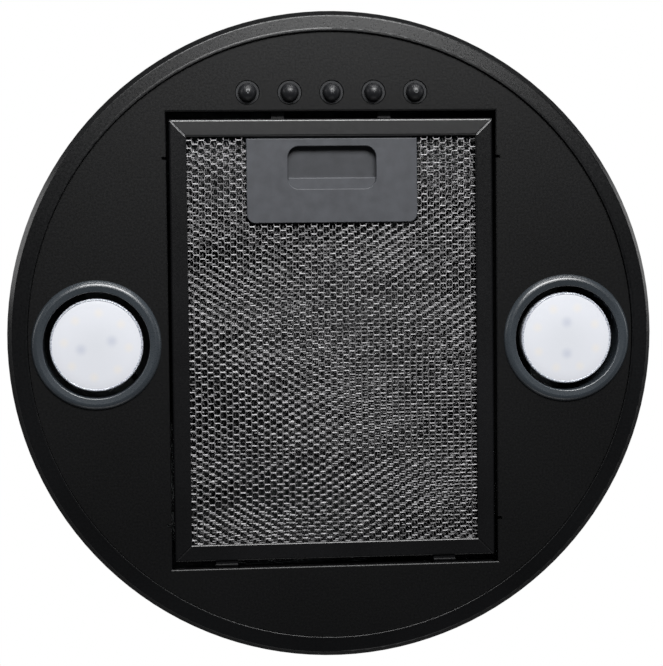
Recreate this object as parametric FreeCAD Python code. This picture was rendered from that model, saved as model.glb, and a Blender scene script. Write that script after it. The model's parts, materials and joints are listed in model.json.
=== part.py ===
import FreeCAD, Part
import math
import os

# Round island range hood that hangs from the ceiling.
#
# Everything is in millimetres. +Z is up and -Y is the front, where the buttons are.
# The origin is the centre of the ceiling plate's upper face. The parts that hang below the
# height adjustment are modelled with z = 0 at the lower face of the bottom panel, and are
# moved down by DROP when they are written.

V = FreeCAD.Vector
X_AXIS, Y_AXIS, Z_AXIS = V(1, 0, 0), V(0, 1, 0), V(0, 0, 1)
CORNERS = {"front_left": (-1, -1), "front_right": (1, -1), "rear_left": (-1, 1), "rear_right": (1, 1)}
SIDES = {"left": -1, "right": 1}

# ---- driving dimensions ------------------------------------------------------------------
DROP = 800.0                # ceiling to bottom panel, with the height adjustment at its middle
TRAVEL = 120.0              # the body hangs this much lower or higher at the ends of its adjustment

SHELL_R = 176.5             # lower cylinder, outside
SHELL_TOP = 600.0
SHEET = 1.0                 # visible sheet steel
RING_INNER_R = 165.4        # edge of the trim ring around the bottom panel
RING_DEPTH = 1.6            # the ring's crest stands this much below the panel
RING_TOP = 6.0              # joint between the trim ring and the lower cylinder

SLEEVE_R = 170.0            # upper cylinder, outside
SLEEVE_BOTTOM = -395.0
PLATE_T = 3.0
PLATE_HOLE_R = 95.0
ANCHOR_PCD = 270.0
ANCHOR_HOLE_R = 3.5

RAIL_X, RAIL_Y = 106.0, 126.0   # outer corner of each upper rail
RAIL_LEG = 20.0
RAIL_T = 1.5
RAIL_GAP = 0.25             # between an upper rail and the lower rail inside it
RAIL_BOLT_Z = 635.0         # height of each clamping bolt above the panel
RAIL_BOLT_Y = 116.0
RAIL_TOP = 650.0

OPEN_X = 89.8               # half the width of the filter opening
OPEN_FRONT, OPEN_REAR = -122.3, 126.0
FLANGE_H = 10.0             # folded edges of the opening
SIDE_FLANGE_FRONT, SIDE_FLANGE_REAR = -96.5, 101.0

FILTER_X = 88.4
FILTER_FRONT, FILTER_REAR = -118.4, 122.4
FILTER_Z0, FILTER_Z1 = 1.0, 10.0
FRAME_W = 9.6               # width of the filter frame's face
FRAME_T = 0.8
FILTER_AXIS_Y, FILTER_AXIS_Z = 124.2, 1.0
LUG_X, LUG_W = 60.0, 12.0

HANDLE_X = 46.6
HANDLE_FRONT, HANDLE_REAR = -107.7, -62.0
HANDLE_Z = 1.7              # visible face of the handle plate
HANDLE_T = 1.4
RECESS_X, RECESS_FRONT, RECESS_REAR = 24.2, -103.5, -80.3
LEDGE_Y = -86.5             # finger ledge of the latch slider
TONGUE_X, TONGUE_W = 29.2, 7.0
TONGUE_TIP = -124.7
SPRING_FRONT, SPRING_REAR, SPRING_Z = -90.0, -65.4, 5.55

BUTTON_Y, BUTTON_PITCH = -132.4, 22.8
BUTTON_R, BUTTON_HOLE_R, COLLAR_R = 4.7, 5.0, 6.2
BUTTON_FLANGE_R = 6.3

LAMP_X, LAMP_Y = 128.7, 2.8
BEZEL_R, BEZEL_INNER_R = 34.9, 28.7
LAMP_R = 25.0
PIN_SPACING = 10.0
LAMP_TWIST = 40.0

DECK_Z, DECK_T = 270.0, 1.5
SCROLL_X = 80.0             # half the width of the scroll's outlet channel
SCROLL_Y = 72.0             # half the depth of the scroll
SCROLL_TOP = 340.0
SCROLL_T = 2.0
WHEEL_X, WHEEL_Z = 38.0, 172.0   # fan axis, which runs front to rear
WHEEL_R = 80.0
INLET_R = 62.0
MOTOR_R = 40.0
SHAFT_R = 4.0
COLLAR_OUTER_R, COLLAR_INNER_R = 75.0, 73.0
COLLAR_TOP = 395.0
FLAP_R, FLAP_T = 72.0, 1.2
FLAP_Z = 357.2
FLAP_HINGE_Y, FLAP_HINGE_Z = 5.0, 359.2
BOX_X, BOX_FRONT, BOX_REAR, BOX_TOP = 55.0, 84.0, 134.0, 325.0
LEAD_R = 1.6
LAMP_LEAD = [(117.9, 13.6, 53), (106, 28, 54), (99, 62, 60), (98, 94, 84), (95, 112, 124),
             (84, 117, 168), (68, 118.5, 208), (50, 118, 246), (46, 118, 284)]
MOTOR_LEAD = [(38, 83.3, 212.2), (38, 85, 228), (38, 97, 258), (38, 100, 284)]

written = []


# ---- helpers -----------------------------------------------------------------------------
def box(x0, x1, y0, y1, z0, z1):
    return Part.makeBox(x1 - x0, y1 - y0, z1 - z0, V(x0, y0, z0))


def rod(r, start, direction, length):
    return Part.makeCylinder(r, length, V(*start), direction)


def tube(r_out, r_in, z0, z1, x=0.0, y=0.0):
    outer = rod(r_out, (x, y, z0), Z_AXIS, z1 - z0)
    return outer.cut(rod(r_in, (x, y, z0 - 1), Z_AXIS, z1 - z0 + 2))


def join(shapes):
    """One solid from shapes that touch or overlap."""
    return shapes[0].multiFuse(shapes[1:]).removeSplitter()


def cut_all(shape, tools):
    return shape.cut(Part.makeCompound(tools)) if tools else shape


def outline(start, steps, to_vector):
    """A closed wire from start through steps: (a, b) is a line's end, (a, b, c, d) is an arc's
    middle and end."""
    edges, here = [], start
    for step in steps:
        end = step[-2:]
        if len(step) == 2:
            edges.append(Part.makeLine(to_vector(*here), to_vector(*end)))
        else:
            edges.append(Part.Arc(to_vector(*here), to_vector(*step[:2]), to_vector(*end)).toShape())
        here = end
    if here != start:
        edges.append(Part.makeLine(to_vector(*here), to_vector(*start)))
    return Part.Wire(edges)


def spun(start, steps, x=0.0, y=0.0):
    """A solid of revolution about a vertical axis through (x, y), from an (r, z) outline."""
    wire = outline(start, steps, lambda r, z: V(x + r, y, z))
    return Part.Face(wire).revolve(V(x, y, 0), Z_AXIS, 360)


def prism(points, z0, z1):
    """A vertical prism on a polygon of (x, y) points."""
    wire = Part.makePolygon([V(x, y, z0) for x, y in points] + [V(*points[0], z0)])
    return Part.Face(wire).extrude(V(0, 0, z1 - z0))


def rounded_slab(x0, x1, y0, y1, z0, z1, radius, corners=4):
    """A slab with rounded vertical edges; corners=2 rounds only the rear two."""
    slab = box(x0, x1, y0, y1, z0, z1)
    edges = [
        e for e in slab.Edges
        if abs(e.tangentAt(e.FirstParameter).z) > 0.9
        and (corners == 4 or abs(e.Vertexes[0].Y - y1) < 1e-6)
    ]
    return slab.makeFillet(radius, edges)


def around(shape, angles):
    """Copies of shape turned about the vertical axis."""
    copies = []
    for angle in angles:
        turned = shape.copy()
        turned.rotate(V(0, 0, 0), Z_AXIS, angle)
        copies.append(turned)
    return copies


def mirrored(shape, sx, sy):
    """shape, modelled in the quarter where x and y are positive, moved to another quarter."""
    if sx < 0:
        shape = shape.mirror(V(0, 0, 0), X_AXIS)
    if sy < 0:
        shape = shape.mirror(V(0, 0, 0), Y_AXIS)
    return shape


def lead(points, radius):
    """A round cable along straight runs joined by tangent arcs, as large as the runs allow."""
    points = [V(*p) for p in points]
    runs = [(b - a).Length for a, b in zip(points, points[1:])]
    edges, here = [], points[0]
    for i in range(1, len(points) - 1):
        before = (points[i - 1] - points[i]).normalize()
        after = (points[i + 1] - points[i]).normalize()
        reach = 0.45 * min(runs[i - 1], runs[i])
        first, last = points[i] + before * reach, points[i] + after * reach
        turn = math.pi - before.getAngle(after)
        bend = reach / math.tan(turn / 2)
        inward = (before + after).normalize()
        centre = points[i] + inward * (bend / math.cos(turn / 2))
        edges.append(Part.makeLine(here, first))
        edges.append(Part.Arc(first, centre - inward * bend, last).toShape())
        here = last
    edges.append(Part.makeLine(here, points[-1]))
    path = Part.Wire(edges)
    circle = Part.Wire(Part.makeCircle(radius, points[0], points[1] - points[0]))
    return path.makePipeShell([circle], True, False, 2)


def write(name, shape, lowered=True):
    shape = shape.copy()
    if lowered:
        shape.translate(V(0, 0, -DROP))
    solids = shape.Solids
    if not solids or not all(s.isValid() and s.Volume > 0 for s in solids):
        raise SystemExit(f"{name} has no valid solid")
    result = solids[0] if len(solids) == 1 else Part.makeCompound(solids)
    result.exportStep(f"parts/{name}.step")
    written.append((name, len(solids), sum(s.Volume for s in solids)))


# ---- ceiling end: it stays still ---------------------------------------------------------
SCREW_ANGLES = (20, 110, 200, 290)
SLEEVE_SCREW_Z = -12.0


def sleeve_screw_holes(radius):
    hole = rod(radius, (150, 0, SLEEVE_SCREW_Z), X_AXIS, 30)
    return around(hole, SCREW_ANGLES)


def ceiling_plate():
    skirt_r = SLEEVE_R - SHEET - 0.4
    plate = join([
        rod(skirt_r, (0, 0, -PLATE_T), Z_AXIS, PLATE_T),
        tube(skirt_r, skirt_r - 1.5, -22, -PLATE_T + 0.5),
    ])
    anchor = rod(ANCHOR_HOLE_R, (ANCHOR_PCD / 2, 0, -PLATE_T - 1), Z_AXIS, PLATE_T + 2)
    centre = rod(PLATE_HOLE_R, (0, 0, -PLATE_T - 1), Z_AXIS, PLATE_T + 2)
    return cut_all(plate, [centre] + around(anchor, (0, 90, 180, 270)) + sleeve_screw_holes(1.8))


def upper_sleeve():
    sleeve = tube(SLEEVE_R, SLEEVE_R - SHEET, SLEEVE_BOTTOM, -1)
    slot_w, slot_z0, slot_z1 = 4.0, -68.0, -32.0
    slot = join([
        box(SLEEVE_R - 6, SLEEVE_R + 4, -slot_w / 2, slot_w / 2, slot_z0, slot_z1),
        rod(slot_w / 2, (SLEEVE_R - 6, 0, slot_z0), X_AXIS, 10),
        rod(slot_w / 2, (SLEEVE_R - 6, 0, slot_z1), X_AXIS, 10),
    ])
    slots = around(slot, [side + 4.5 * i for side in (0, 180) for i in range(-5, 6)])
    return cut_all(sleeve, slots + sleeve_screw_holes(2.3))


def sleeve_screws():
    screw = spun((0, 0), [(3.8, 0), (3.4, 1.7, 0, 2.4)])
    shank = rod(1.7, (0, 0, -5), Z_AXIS, 5.2)
    drive = join([box(-2.2, 2.2, -0.4, 0.4, 1.4, 3), box(-0.4, 0.4, -2.2, 2.2, 1.4, 3)])
    screw = join([screw, shank]).cut(drive)
    screw.rotate(V(0, 0, 0), Y_AXIS, 90)
    screw.translate(V(SLEEVE_R + 0.05, 0, SLEEVE_SCREW_Z))
    return Part.makeCompound(around(screw, SCREW_ANGLES))


def angle_rail(corner_x, corner_y, z0, z1):
    """An angle section whose corner is at (corner_x, corner_y), with legs towards the axis."""
    end_x, end_y = RAIL_X - RAIL_LEG, RAIL_Y - RAIL_LEG
    return join([
        box(end_x, corner_x, corner_y - RAIL_T, corner_y, z0, z1),
        box(corner_x - RAIL_T, corner_x, end_y, corner_y, z0, z1),
    ])


def upper_rail():
    rail = angle_rail(RAIL_X, RAIL_Y, SLEEVE_BOTTOM + 5, -PLATE_T)
    foot = box(RAIL_X - RAIL_LEG, RAIL_X, RAIL_Y - RAIL_LEG, RAIL_Y, -PLATE_T - 2, -PLATE_T)
    bolt_z = RAIL_BOLT_Z - DROP
    slot_half = 2.8
    z0, z1 = bolt_z - TRAVEL - 10, bolt_z + TRAVEL + 10
    slot = join([
        box(RAIL_X - 5, RAIL_X + 5, RAIL_BOLT_Y - slot_half, RAIL_BOLT_Y + slot_half, z0, z1),
        rod(slot_half, (RAIL_X - 5, RAIL_BOLT_Y, z0), X_AXIS, 10),
        rod(slot_half, (RAIL_X - 5, RAIL_BOLT_Y, z1), X_AXIS, 10),
    ])
    return join([rail, foot]).cut(slot)


# ---- frame of the hanging body -----------------------------------------------------------
def lower_rail():
    offset = RAIL_T + RAIL_GAP
    rail = angle_rail(RAIL_X - offset, RAIL_Y - offset, DECK_Z + DECK_T, RAIL_TOP)
    foot = box(RAIL_X - RAIL_LEG, RAIL_X - offset, RAIL_Y - RAIL_LEG, RAIL_Y - offset,
               DECK_Z + DECK_T, DECK_Z + DECK_T + 2)
    hole = rod(2.65, (RAIL_X - 8, RAIL_BOLT_Y, RAIL_BOLT_Z), X_AXIS, 12)
    return join([rail, foot]).cut(hole)


def rail_bolts():
    inner_face = RAIL_X - 2 * RAIL_T - RAIL_GAP
    head = prism([(4.6 * math.cos(a), 4.6 * math.sin(a)) for a in
                  [math.radians(60 * i) for i in range(6)]], 0, 3.2)
    bolt = join([head, rod(5.2, (0, 0, -0.8), Z_AXIS, 0.9), rod(2.5, (0, 0, -9), Z_AXIS, 9.5)])
    bolt.rotate(V(0, 0, 0), Y_AXIS, 90)
    bolt.translate(V(RAIL_X + 1.0, RAIL_BOLT_Y, RAIL_BOLT_Z))
    nut = prism([(4.6 * math.cos(a), 4.6 * math.sin(a)) for a in
                 [math.radians(60 * i) for i in range(6)]], 0, 3.2)
    nut = nut.cut(rod(2.56, (0, 0, -1), Z_AXIS, 6))
    nut.rotate(V(0, 0, 0), Y_AXIS, 90)
    nut.translate(V(inner_face - 3.25, RAIL_BOLT_Y, RAIL_BOLT_Z))
    pair = Part.makeCompound([bolt, nut])
    return Part.makeCompound([mirrored(pair, sx, sy) for sx, sy in CORNERS.values()])


def chassis_deck():
    edge_r = SHELL_R - SHEET - 0.2
    deck = join([
        rod(edge_r, (0, 0, DECK_Z), Z_AXIS, DECK_T),
        tube(edge_r, edge_r - 1.5, DECK_Z - 14, DECK_Z + 0.5),
    ])
    window = box(-SCROLL_X - 4, SCROLL_X + 4, -SCROLL_Y - 4, SCROLL_Y + 4, DECK_Z - 2, DECK_Z + 4)
    holes = [rod(2.2, (x, y, DECK_Z - 2), Z_AXIS, 6) for x in (-92, 92) for y in (-60, 60)]
    grommets = [rod(5, (x, y, DECK_Z - 2), Z_AXIS, 6)
                for x, y in ((-47.5, 118), (47.5, 118), (WHEEL_X, 98.4))]
    return cut_all(deck, [window] + holes + grommets)


# ---- outer casing ------------------------------------------------------------------------
def body_shell():
    wall = tube(SHELL_R, SHELL_R - SHEET, RING_TOP, SHELL_TOP)
    hem = tube(SHELL_R - SHEET / 2, SLEEVE_R + 0.8, SHELL_TOP - 1.5, SHELL_TOP)
    return join([wall, hem])


def rim_ring():
    """Channel-shaped trim ring: crest beside the panel, shallow cove, rounded outer edge."""
    inner, outer = RING_INNER_R, SHELL_R
    body = spun(
        (inner, -RING_DEPTH + 0.25),
        [
            (inner + 0.1, -RING_DEPTH + 0.08, inner + 0.3, -RING_DEPTH),
            (inner + 1.0, -RING_DEPTH + 0.02, inner + 1.7, -RING_DEPTH + 0.15),
            (outer - 3.3, -RING_DEPTH + 0.75),
            (outer - 2.75, -RING_DEPTH + 0.9, outer - 2.4, -RING_DEPTH + 1.35),
            (outer, 3.4),
            (outer, RING_TOP - 0.25),
            (outer - 0.25, RING_TOP),
            (outer - 1.25, RING_TOP),
            (outer - 1.25, 20),
            (outer - 2.75, 20),
            (outer - 2.75, 3),
            (inner + 1.7, 3),
            (inner + 1.7, 12),
            (inner + 0.1, 12),
            (inner + 0.1, 1.0),
            (inner, 0.9),
        ],
    )
    return cut_all(body, around(rod(1.55, (160, 0, 7), X_AXIS, 9), PANEL_SCREW_ANGLES))


PANEL_SCREW_ANGLES = (0, 60, 120, 180, 240, 300)


def bottom_panel():
    edge = RING_INNER_R - 0.2
    sheet = rod(edge, (0, 0, 0), Z_AXIS, SHEET)
    sheet = sheet.cut(box(-OPEN_X, OPEN_X, OPEN_FRONT, OPEN_REAR, -1, 2))
    end_x = OPEN_X - 2
    folds = [
        tube(edge, edge - SHEET, SHEET / 2, 12),
        box(-end_x, end_x, OPEN_FRONT - SHEET, OPEN_FRONT, 0.2, FLANGE_H),
        box(-end_x, end_x, OPEN_REAR, OPEN_REAR + SHEET, 0.2, FLANGE_H),
    ]
    for sx in (-1, 1):
        x0, x1 = sorted((sx * OPEN_X, sx * (OPEN_X + SHEET)))
        folds.append(box(x0, x1, SIDE_FLANGE_FRONT, SIDE_FLANGE_REAR, 0.2, FLANGE_H))
    panel = join([sheet] + folds)
    bends = [e for e in panel.Edges if e.BoundBox.ZMax < 1e-6 and e.BoundBox.XMax < OPEN_X + 0.01
             and e.BoundBox.XMin > -OPEN_X - 0.01 and len(e.Vertexes) == 2]
    panel = panel.makeFillet(0.9, bends)
    cuts = around(rod(1.75, (160, 0, 7), X_AXIS, 9), PANEL_SCREW_ANGLES)
    for i in range(-2, 3):
        place = V(i * BUTTON_PITCH, BUTTON_Y, -1)
        cuts.append(Part.makeCylinder(COLLAR_R + 0.2, 4, place, Z_AXIS))
        cuts.append(Part.makeCone(COLLAR_R + 1.5, COLLAR_R + 0.2, 1.3, place, Z_AXIS))
    for sx in (-1, 1):
        cuts.append(rod(BEZEL_INNER_R + 1.7, (sx * LAMP_X, LAMP_Y, -1), Z_AXIS, 4))
        for y0 in (SIDE_FLANGE_FRONT - 1.6, SIDE_FLANGE_REAR):
            x0, x1 = sorted((sx * (OPEN_X - 1), sx * (OPEN_X + 2.4)))
            cuts.append(box(x0, x1, y0, y0 + 1.6, -1, 3))
        cuts.append(box(sx * TONGUE_X - 4, sx * TONGUE_X + 4, OPEN_FRONT - 2, OPEN_FRONT + 1, 4.9, 8.3))
        cuts.append(box(sx * LUG_X - 7.2, sx * LUG_X + 7.2, OPEN_REAR - 1, OPEN_REAR + 2,
                        SHEET, FLANGE_H + 1))
    return cut_all(panel, cuts)


def panel_screws():
    screw = join([
        spun((0, 0), [(3.0, 0), (2.6, 1.3, 0, 1.9)]),
        rod(1.45, (0, 0, -4.2), Z_AXIS, 4.4),
    ]).cut(box(-1.8, 1.8, -0.35, 0.35, 1.0, 3))
    screw.rotate(V(0, 0, 0), Y_AXIS, -90)
    screw.translate(V(RING_INNER_R - 1.45, 0, 7))
    return Part.makeCompound(around(screw, PANEL_SCREW_ANGLES))


# ---- blower ------------------------------------------------------------------------------
def scroll_profile():
    cx, cz = WHEEL_X, WHEEL_Z
    return outline(
        (SCROLL_X, SCROLL_TOP),
        [
            (SCROLL_X, cz + 84),
            (cx + 74, cz + 54, cx + 92, cz),
            (cx + 69.5, cz - 69.5, cx, cz - 104),
            (cx - 78.5, cz - 78.5, -SCROLL_X, cz),
            (-SCROLL_X, SCROLL_TOP),
        ],
        lambda x, z: V(x, 0, z),
    )


def scroll_half(sy):
    """Half of the fan housing, split at the middle plane; sy is -1 for the front half."""
    wire = scroll_profile()
    outer = Part.Face(wire).extrude(V(0, sy * SCROLL_Y, 0))
    inner_face = Part.Face(wire).makeOffset2D(-SCROLL_T)
    inner = inner_face.extrude(V(0, sy * (SCROLL_Y - SCROLL_T), 0))
    mouth = box(-SCROLL_X + SCROLL_T, SCROLL_X - SCROLL_T,
                *sorted((0, sy * (SCROLL_Y - SCROLL_T))), SCROLL_TOP - 5, SCROLL_TOP + 5)
    seam = Part.Face(wire).makeOffset2D(4.0).extrude(V(0, sy * 2.0, 0))
    seam = seam.cut(box(-200, 200, -10, 10, DECK_Z - 5, SCROLL_TOP + 20))
    ears = [box(*sorted((sx * (SCROLL_X - 1), sx * (SCROLL_X + 20))), *sorted((0, sy * SCROLL_Y)),
                DECK_Z - 4, DECK_Z - 0.1) for sx in (-1, 1)]
    start = V(WHEEL_X, sy * (SCROLL_Y - 4), WHEEL_Z)
    out = V(0, sy, 0)
    bell = Part.makeCylinder(INLET_R + 4, 7, start, out)
    inlet = Part.makeCylinder(INLET_R, 30, V(WHEEL_X, sy * (SCROLL_Y - 15), WHEEL_Z), out)
    screws = [rod(2.2, (x, sy * 60, DECK_Z - 8), Z_AXIS, 10) for x in (-92, 92)]
    return cut_all(join([outer, seam, bell] + ears), [inner, mouth, inlet] + screws)


def blower_screws():
    screw = join([
        spun((0, 0), [(3.8, 0), (3.4, 1.7, 0, 2.4)]),
        rod(2.0, (0, 0, -9), Z_AXIS, 9.2),
    ]).cut(box(-2.4, 2.4, -0.4, 0.4, 1.4, 3))
    places = [(x, y, DECK_Z + DECK_T) for x in (-92, 92) for y in (-60, 60)]
    return Part.makeCompound([screw.translated(V(*p)) for p in places])


def fan_wheel():
    """Double-inlet squirrel-cage wheel with a middle disc; its axis runs along Y."""
    blades, half = 40, 56.0
    parts = [
        tube(WHEEL_R, 14, -1, 1),
        tube(16, SHAFT_R + 0.04, -8, 8),
        tube(WHEEL_R, WHEEL_R - 7, -half, -half + 3),
        tube(WHEEL_R, WHEEL_R - 7, half - 3, half),
    ]
    blade = box(WHEEL_R - 13, WHEEL_R - 1, -0.6, 0.6, -half + 1, half - 1)
    blade.rotate(V(WHEEL_R - 13, 0, 0), Z_AXIS, 32)
    blade = blade.common(tube(WHEEL_R - 0.4, WHEEL_R - 14, -half, half))
    parts += around(blade, [360 * i / blades for i in range(blades)])
    wheel = join(parts)
    wheel.rotate(V(0, 0, 0), X_AXIS, 90)
    return wheel.translated(V(WHEEL_X, 0, WHEEL_Z))


def motor_body():
    """Motor can with an end dome and a blind bearing bore for the shaft."""
    front, rear = 11.0, 92.0
    can = rod(MOTOR_R, (WHEEL_X, front + 4, WHEEL_Z), Y_AXIS, rear - front - 10)
    nose = rod(14, (WHEEL_X, front, WHEEL_Z), Y_AXIS, 6)
    cap = rod(MOTOR_R - 6, (WHEEL_X, rear - 7, WHEEL_Z), Y_AXIS, 7)
    cooling = []
    for i in range(12):
        a = math.radians(30 * i + 15)
        x, z = WHEEL_X + 26 * math.cos(a), WHEEL_Z + 26 * math.sin(a)
        cooling.append(rod(3, (x, rear - 9, z), Y_AXIS, 12))
    bore = rod(SHAFT_R + 0.05, (WHEEL_X, front - 1, WHEEL_Z), Y_AXIS, 74)
    return cut_all(join([can, nose, cap]), [bore] + cooling)


def motor_shaft():
    shaft = rod(SHAFT_R, (WHEEL_X, -13, WHEEL_Z), Y_AXIS, 90)
    nose = Part.makeCone(SHAFT_R - 1, SHAFT_R, 1, V(WHEEL_X, -14, WHEEL_Z), Y_AXIS)
    return join([shaft, nose])


def motor_bracket():
    y0 = SCROLL_Y + 3.2
    ring = rod(MOTOR_R + 6, (WHEEL_X, y0, WHEEL_Z), Y_AXIS, 5)
    arms = []
    for angle in (90, 210, 330):
        arm = box(MOTOR_R + 3, INLET_R + 14, -6, 6, 0, 2.5)
        arm = join([arm, box(INLET_R + 5, INLET_R + 14, -9, 9, -3.0, 2.5)])
        arm.rotate(V(0, 0, 0), X_AXIS, -90)
        arm.rotate(V(0, 0, 0), Y_AXIS, angle)
        arms.append(arm.translated(V(WHEEL_X, y0, WHEEL_Z)))
    hole = rod(MOTOR_R + 0.2, (WHEEL_X, y0 - 5, WHEEL_Z), Y_AXIS, 20)
    return join([ring] + arms).cut(hole)


def outlet_collar():
    """Flanged 150 mm duct spigot with the middle bar, stops and pin holes of the damper."""
    base = rounded_slab(-SCROLL_X - 5, SCROLL_X + 5, -SCROLL_Y - 6, SCROLL_Y + 6,
                        SCROLL_TOP + 0.1, SCROLL_TOP + 3, 8)
    spigot = rod(COLLAR_OUTER_R, (0, 0, SCROLL_TOP + 2), Z_AXIS, COLLAR_TOP - SCROLL_TOP - 2)
    bore = rod(COLLAR_INNER_R, (0, 0, SCROLL_TOP + 3), Z_AXIS, 80)
    throat = rod(COLLAR_INNER_R - 4, (0, 0, SCROLL_TOP - 2), Z_AXIS, 10)
    collar = cut_all(join([base, spigot]), [bore, throat])
    stop = tube(COLLAR_INNER_R + 0.5, COLLAR_INNER_R - 3, FLAP_Z - 2.2, FLAP_Z - 0.2)
    bar = box(-COLLAR_INNER_R - 0.5, COLLAR_INNER_R + 0.5, -2.4, 2.4, FLAP_Z - 3, FLAP_Z + 3)
    collar = join([collar, stop, bar])
    pins = [rod(1.06, (-80, sy * FLAP_HINGE_Y, FLAP_HINGE_Z), X_AXIS, 160) for sy in (-1, 1)]
    return cut_all(collar, pins)


def damper_flap(sy):
    """Half-round flap with a hinge barrel and end pins along X; sy is -1 for the front flap."""
    reach = FLAP_HINGE_Y - 1.4
    disc = rod(FLAP_R, (0, 0, FLAP_Z), Z_AXIS, FLAP_T)
    half = disc.common(box(-80, 80, *sorted((sy * reach, sy * 80)), FLAP_Z - 1, FLAP_Z + 5))
    corners = [box(*sorted((sx * 69.0, sx * 80)), *sorted((0, sy * 6.5)), FLAP_Z - 1, FLAP_Z + 5)
               for sx in (-1, 1)]
    half = cut_all(half, corners)
    barrel = rod(1.6, (-68, sy * FLAP_HINGE_Y, FLAP_HINGE_Z), X_AXIS, 136)
    pin = rod(1.0, (-74.6, sy * FLAP_HINGE_Y, FLAP_HINGE_Z), X_AXIS, 149.2)
    web = box(-66, 66, *sorted((sy * reach, sy * (FLAP_HINGE_Y + 1.2))), FLAP_Z, FLAP_HINGE_Z)
    return join([half, web, barrel, pin])


# ---- electrics ---------------------------------------------------------------------------
def electronics_box():
    z0 = DECK_Z + DECK_T + 0.1
    outer = rounded_slab(-BOX_X, BOX_X, BOX_FRONT, BOX_REAR, z0, BOX_TOP, 4)
    inner = rounded_slab(-BOX_X + 2, BOX_X - 2, BOX_FRONT + 2, BOX_REAR - 2, z0 + 2, BOX_TOP + 5, 2)
    entries = [rod(2.9, (x, y, z0 - 2), Z_AXIS, 8)
               for x, y in ((-47.4, 118), (47.4, 118), (WHEEL_X, 98.5))]
    return cut_all(outer, [inner] + entries)


def electronics_lid():
    lid = rounded_slab(-BOX_X, BOX_X, BOX_FRONT, BOX_REAR, BOX_TOP + 0.05, BOX_TOP + 2, 4)
    lip = rounded_slab(-BOX_X + 2.2, BOX_X - 2.2, BOX_FRONT + 2.2, BOX_REAR - 2.2,
                       BOX_TOP - 3, BOX_TOP + 1, 1.8)
    lip = lip.cut(box(-BOX_X + 4, BOX_X - 4, BOX_FRONT + 4, BOX_REAR - 4, BOX_TOP - 5, BOX_TOP + 0.05))
    return join([lid, lip]).cut(rod(8.1, (-30, 108, BOX_TOP - 5), Z_AXIS, 12))


def cord_gland():
    """Empty supply-cord gland, clamped through the lid."""
    x, y, z = -30.0, 108.0, BOX_TOP + 2
    hexagon = [(x + 12 * math.cos(math.radians(60 * i)), y + 12 * math.sin(math.radians(60 * i)))
               for i in range(6)]
    thread = rod(8.0, (x, y, z - 9), Z_AXIS, 9.5)
    dome = spun((0, z + 5), [(9.6, z + 5), (9.6, z + 12), (8.6, z + 16.5, 5.5, z + 19), (0, z + 19)], x, y)
    locknut = tube(11, 7.9, z - 8.5, z - 5.2, x, y)
    gland = join([prism(hexagon, z + 0.05, z + 5.2), thread, dome, locknut])
    return gland.cut(rod(3.6, (x, y, z - 12), Z_AXIS, 40))


def capacitor():
    z0, z1, r = DECK_Z + DECK_T + 2.2, DECK_Z + 38, 14.2
    can = spun((0, z0), [(r - 1, z0), (r - 0.3, z0 + 0.3, r, z0 + 1), (r, z1 - 1),
                         (r - 0.3, z1 - 0.3, r - 1, z1), (0, z1)], -18, 108)
    return can.cut(tube(r + 2, r - 0.5, z1 - 7, z1 - 6, -18, 108))


def switch_housing():
    """Switch block behind the panel, with a guide collar in each of the panel's button holes."""
    block = box(-59, 59, -145, -125.2, SHEET + 0.2, 27)
    parts, cuts = [block], []
    for i in range(-2, 3):
        x = i * BUTTON_PITCH
        parts.append(rod(COLLAR_R, (x, BUTTON_Y, 0.45), Z_AXIS, 2))
        cuts.append(rod(BUTTON_HOLE_R, (x, BUTTON_Y, -1), Z_AXIS, 8))
        cuts.append(rod(BUTTON_FLANGE_R + 0.3, (x, BUTTON_Y, 4.0), Z_AXIS, 14))
    return cut_all(join(parts), cuts)


def button(index):
    """Domed push button; the flange inside the switch block keeps it from falling out."""
    x, r = index * BUTTON_PITCH, BUTTON_R
    return spun(
        (0, -5.2),
        [(r * 0.8, -3.4, r, 0.2), (r, 4.2), (BUTTON_FLANGE_R, 4.2), (BUTTON_FLANGE_R, 6.0),
         (r, 6.0), (r, 13.0), (0, 13.0)],
        x, BUTTON_Y)


# ---- lamps -------------------------------------------------------------------------------
def bezel(sx):
    r0, r1 = BEZEL_R, BEZEL_INNER_R
    return spun(
        (r0, -0.02),
        [
            (r0, -0.4),
            (r0 - 1.05, -1.95, r0 - 3.1, -2.8),
            (r1 + 0.75, -2.55),
            (r1 + 0.18, -2.3, r1, -1.7),
            (r1, 14),
            (r1 + 1.5, 14),
            (r1 + 1.5, -0.02),
        ],
        sx * LAMP_X, LAMP_Y)


def lamp(sx):
    """Reflector-size LED lamp, 50 mm across, with two bayonet pins."""
    x, r = sx * LAMP_X, LAMP_R
    body = spun(
        (0, -1.2),
        [
            (r * 0.5, -0.95, r - 1.6, -0.1),
            (r - 0.5, 0.0, r, 0.8),
            (r, 4.0),
            (r - 0.8, 4.6),
            (r - 1.2, 9),
            (r - 4.2, 25, 13.5, 36),
            (13.5, 44.5),
            (0, 44.5),
        ],
        x, LAMP_Y)
    pins = [rod(2.3, (x, LAMP_Y + s * PIN_SPACING / 2, 44), Z_AXIS, 9) for s in (-1, 1)]
    return join([body] + pins)


def lampholder(sx):
    """Twist-lock holder; its two arc slots let the lamp's pins turn."""
    x = sx * LAMP_X
    block = rod(15, (x, LAMP_Y, 46), Z_AXIS, 13.9)
    slots = []
    for pin_angle in (90, 270):
        slot = tube(7.8, 2.2, 45, 54.5).common(sector(pin_angle - LAMP_TWIST - 32, pin_angle + 32))
        slots.append(slot.translated(V(x, LAMP_Y, 0)))
    return cut_all(block, slots)


def sector(a0, a1):
    """A vertical wedge between two angles, in degrees, wider than any lampholder."""
    points = [(0, 0)] + [(30 * math.cos(math.radians(a)), 30 * math.sin(math.radians(a)))
                         for a in (a0, (a0 + a1) / 2, a1)]
    return prism(points, 40, 60)


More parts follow.
